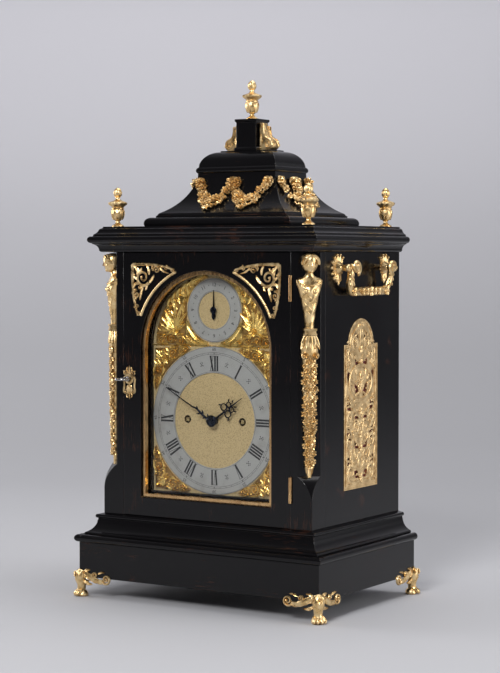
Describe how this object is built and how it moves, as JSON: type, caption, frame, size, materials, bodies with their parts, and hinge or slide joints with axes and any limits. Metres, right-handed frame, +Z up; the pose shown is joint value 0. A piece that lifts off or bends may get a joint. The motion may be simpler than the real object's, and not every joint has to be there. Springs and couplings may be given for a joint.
{
  "type": "bracket clock",
  "caption": "Ebonised bracket clock with an arched glazed door, gilt mounts, a silvered dial, side carrying handles and a spring-driven striking movement inside",
  "frame": {"origin": "on the surface the clock stands on, under the middle of its bounding box", "axes": "+X to the right seen from the front, +Y to the back, +Z up"},
  "size_m": [0.3582, 0.2512, 0.6317],
  "materials": {
    "ebonised_wood": "black polished hardwood, worn brown at the edges",
    "gilt_brass": "cast and chased, fire gilt",
    "silk": "plain woven silk",
    "glass": "clear flat glass",
    "steel": "filed bright",
    "blued_steel": "blued",
    "silvered_brass": "matt silvered",
    "bell_metal": "turned",
    "brass": "polished"
  },
  "bodies": {
    "case": {"plinth": "ebonised_wood", "base_moulding": "ebonised_wood", "corner_posts": "ebonised_wood", "side_panels": "ebonised_wood", "cornice": "ebonised_wood", "top_board": "ebonised_wood", "caddy_base": "ebonised_wood", "caddy_bell": "ebonised_wood", "caddy_cap": "ebonised_wood", "pedestal_block": "ebonised_wood", "dial_mask": "ebonised_wood", "finials": "gilt_brass", "paw_feet": "gilt_brass", "flower_swags": "gilt_brass", "console_scrolls": "gilt_brass", "caryatid_mounts": "gilt_brass", "side_frets": "gilt_brass", "handle_plates": "gilt_brass", "dial_spandrels": "gilt_brass", "fret_silks": "silk", "back_pivots": "steel", "silvered_rings": "silvered_brass", "bell": "bell_metal", "door_hinges": "brass", "dial_plate": "brass", "front_plate": "brass", "back_plate": "brass", "plate_pillars": "brass", "back_cock": "brass"},
    "front_door": {"front_door": "ebonised_wood", "door_bead": "gilt_brass", "door_glass": "glass", "door_frets": "gilt_brass", "escutcheon": "gilt_brass", "door_hinge_leaves": "brass"},
    "door_key": {"door_key": "steel"},
    "lock_bolt": {"lock_bolt": "steel"},
    "back_door": {"back_door": "ebonised_wood", "back_glass": "glass"},
    "back_latch": {"back_latch": "brass"},
    "handle_right": {"handle_right": "gilt_brass"},
    "handle_left": {"handle_left": "gilt_brass"},
    "minute_hand": {"minute_hand": "blued_steel", "cannon_pinion": "brass"},
    "hour_hand": {"hour_hand": "blued_steel", "hour_wheel": "brass"},
    "minute_wheel": {"minute_wheel": "brass"},
    "arch_hand": {"arch_hand": "blued_steel"},
    "going_barrel": {"going_barrel": "brass"},
    "second_wheel": {"second_wheel": "brass"},
    "centre_wheel": {"centre_wheel": "brass"},
    "third_wheel": {"third_wheel": "brass"},
    "escape_wheel": {"escape_wheel": "brass"},
    "strike_barrel": {"strike_barrel": "brass"},
    "pin_wheel": {"pin_wheel": "brass"},
    "going_winding_arbor": {"going_winding_arbor": "brass"},
    "strike_winding_arbor": {"strike_winding_arbor": "brass"},
    "pendulum": {"pendulum": "brass"},
    "pallets": {"pallets": "steel"},
    "hammer": {"hammer": "brass"}
  },
  "joints": [
    {"name": "front_door_hinge", "type": "hinge", "parent": "case", "child": "front_door", "pos_m": [0.1193, -0.09555, 0.263], "axis": [0, 0, 1], "range_deg": [0, 110]},
    {"name": "key_turn", "type": "hinge", "parent": "front_door", "child": "door_key", "pos_m": [-0.1095, -0.09455, 0.268], "axis": [0, 1, 0], "range_deg": [0, 90]},
    {"name": "bolt_slide", "type": "slide", "parent": "front_door", "child": "lock_bolt", "axis": [-1, 0, 0], "range_m": [0, 0.005]},
    {"name": "back_door_hinge", "type": "hinge", "parent": "case", "child": "back_door", "pos_m": [0.1275, 0.11045, 0.263], "axis": [0, 0, -1], "range_deg": [0, 90]},
    {"name": "back_latch_turn", "type": "hinge", "parent": "back_door", "child": "back_latch", "pos_m": [-0.122, 0.11045, 0.2616], "axis": [0, -1, 0], "range_deg": [0, 90]},
    {"name": "handle_right_swing", "type": "hinge", "parent": "case", "child": "handle_right", "pos_m": [0.1615, 0.02045, 0.403], "axis": [0, -1, 0], "range_deg": [0, 140]},
    {"name": "handle_left_swing", "type": "hinge", "parent": "case", "child": "handle_left", "pos_m": [-0.1615, 0.02045, 0.403], "axis": [0, 1, 0], "range_deg": [0, 140]},
    {"name": "minute_hand_turn", "type": "hinge", "parent": "case", "child": "minute_hand", "pos_m": [0, -0.07, 0.2203], "axis": [0, 1, 0], "continuous": true},
    {"name": "hour_hand_turn", "type": "hinge", "parent": "case", "child": "hour_hand", "pos_m": [0, -0.07, 0.2203], "axis": [0, 1, 0], "continuous": true},
    {"name": "minute_wheel_turn", "type": "hinge", "parent": "case", "child": "minute_wheel", "pos_m": [-0.00547, -0.06, 0.23534], "axis": [0, 1, 0], "continuous": true},
    {"name": "arch_hand_turn", "type": "hinge", "parent": "case", "child": "arch_hand", "pos_m": [0, -0.073, 0.3522], "axis": [0, 1, 0], "range_deg": [-150, 150]},
    {"name": "third_wheel_turn", "type": "hinge", "parent": "case", "child": "third_wheel", "pos_m": [-0.00818, -0.028, 0.24055], "axis": [0, 1, 0], "continuous": true},
    {"name": "centre_wheel_turn", "type": "hinge", "parent": "case", "child": "centre_wheel", "pos_m": [0, -0.028, 0.2203], "axis": [0, 1, 0], "continuous": true},
    {"name": "second_wheel_turn", "type": "hinge", "parent": "case", "child": "second_wheel", "pos_m": [0.01603, -0.028, 0.20201], "axis": [0, 1, 0], "continuous": true},
    {"name": "going_barrel_turn", "type": "hinge", "parent": "case", "child": "going_barrel", "pos_m": [0.0391, -0.028, 0.2203], "axis": [0, 1, 0], "continuous": true},
    {"name": "escape_wheel_turn", "type": "hinge", "parent": "case", "child": "escape_wheel", "pos_m": [0, -0.028, 0.25739], "axis": [0, 1, 0], "continuous": true},
    {"name": "pin_wheel_turn", "type": "hinge", "parent": "case", "child": "pin_wheel", "pos_m": [-0.04405, -0.028, 0.24839], "axis": [0, 1, 0], "continuous": true},
    {"name": "strike_barrel_turn", "type": "hinge", "parent": "case", "child": "strike_barrel", "pos_m": [-0.0391, -0.028, 0.2203], "axis": [0, 1, 0], "continuous": true},
    {"name": "going_winding_arbor_turn", "type": "hinge", "parent": "case", "child": "going_winding_arbor", "pos_m": [0.0391, -0.028, 0.2203], "axis": [0, 1, 0], "continuous": true},
    {"name": "strike_winding_arbor_turn", "type": "hinge", "parent": "case", "child": "strike_winding_arbor", "pos_m": [-0.0391, -0.028, 0.2203], "axis": [0, 1, 0], "continuous": true},
    {"name": "pendulum_swing", "type": "hinge", "parent": "case", "child": "pendulum", "pos_m": [0, 0.02, 0.27739], "axis": [0, 1, 0], "range_deg": [-2.5, 2.5]},
    {"name": "pallets_rock", "type": "hinge", "parent": "case", "child": "pallets", "pos_m": [0, 0, 0.27289], "axis": [0, 1, 0], "range_deg": [-2.9, 2.9]},
    {"name": "hammer_lift", "type": "hinge", "parent": "case", "child": "hammer", "pos_m": [-0.024, -0.035, 0.296], "axis": [0, -1, 0], "range_deg": [0, 12]}
  ],
  "couplings": [
    {"joint": "bolt_slide", "follows": "key_turn", "m_per_rad": 0.0031831},
    {"joint": "hour_hand_turn", "follows": "minute_hand_turn", "ratio": 0.083333},
    {"joint": "minute_wheel_turn", "follows": "minute_hand_turn", "ratio": -0.33333},
    {"joint": "centre_wheel_turn", "follows": "third_wheel_turn", "ratio": -0.083333},
    {"joint": "second_wheel_turn", "follows": "third_wheel_turn", "ratio": 0.015432},
    {"joint": "going_barrel_turn", "follows": "third_wheel_turn", "ratio": -0.0028578},
    {"joint": "escape_wheel_turn", "follows": "third_wheel_turn", "ratio": -11},
    {"joint": "strike_barrel_turn", "follows": "pin_wheel_turn", "ratio": -0.14815},
    {"joint": "pallets_rock", "follows": "pendulum_swing", "ratio": 1.1071}
  ]
}
